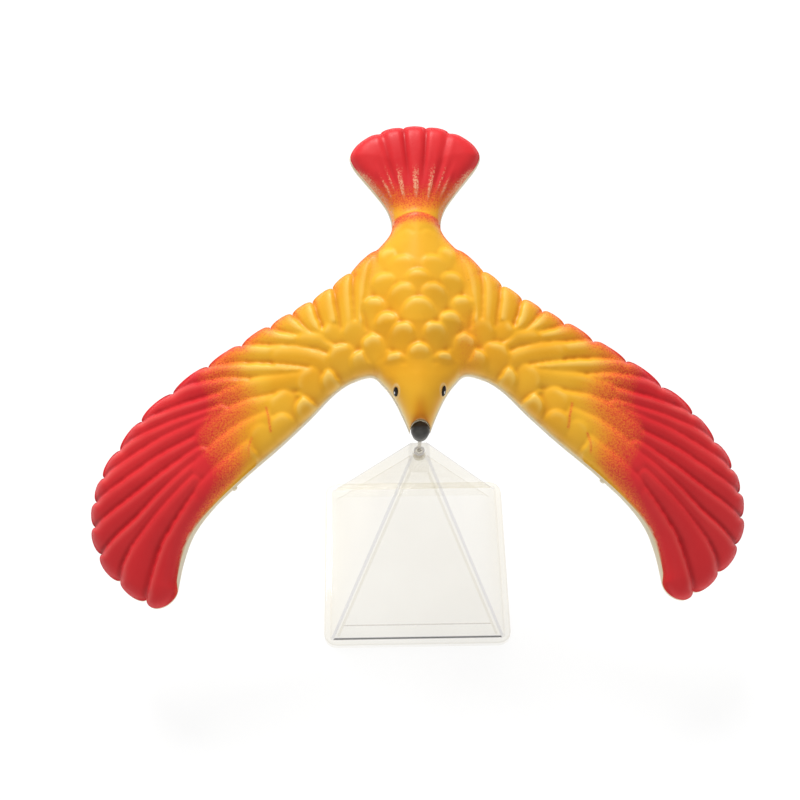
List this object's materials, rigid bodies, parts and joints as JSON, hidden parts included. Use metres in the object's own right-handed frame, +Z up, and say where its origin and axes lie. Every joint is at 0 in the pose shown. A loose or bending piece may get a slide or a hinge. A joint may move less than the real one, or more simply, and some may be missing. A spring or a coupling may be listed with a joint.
{
  "type": "balancing bird",
  "caption": "Hollow plastic bird that balances on the point of its beak on a clear pyramid stand, with weighted wing ends that hold its centre of mass below the point.",
  "frame": {"origin": "bottom centre of the whole object's box, on the surface it stands on; the stand is in front of it, on -Y", "axes": "+Z up, +Y from the beak towards the tail, +X along the wing span"},
  "size_m": [0.1248, 0.075, 0.0781],
  "materials": {
    "clear_plastic": "clear moulded plastic with a faint warm tint",
    "painted_plastic": "satin plastic airbrushed ochre yellow, fading through orange speckle to red on wings and tail",
    "ivory_plastic": "unpainted ivory moulded plastic",
    "beak_plastic": "dark grey satin",
    "steel": "plain steel"
  },
  "bodies": {
    "stand": {"stand_pyramid": "clear_plastic"},
    "cup": {"apex_cup": "clear_plastic"},
    "ball": {"pin_ball": "steel"},
    "bird": {"upper_shell": "painted_plastic", "lower_shell": "ivory_plastic", "beak_tip": "beak_plastic", "pivot_pin": "steel", "left_wing_weight": "steel", "right_wing_weight": "steel"}
  },
  "joints": [
    {"name": "bird_spin", "type": "hinge", "parent": "stand", "child": "cup", "pos_m": [0, -0.015, 0.0455], "axis": [0, 0, 1], "continuous": true},
    {"name": "bird_pitch", "type": "hinge", "parent": "cup", "child": "ball", "pos_m": [0, -0.015, 0.0455], "axis": [1, 0, 0], "range_deg": [-20, 20]},
    {"name": "bird_roll", "type": "hinge", "parent": "ball", "child": "bird", "pos_m": [0, -0.015, 0.0455], "axis": [0, 1, 0], "range_deg": [-20, 20]}
  ]
}
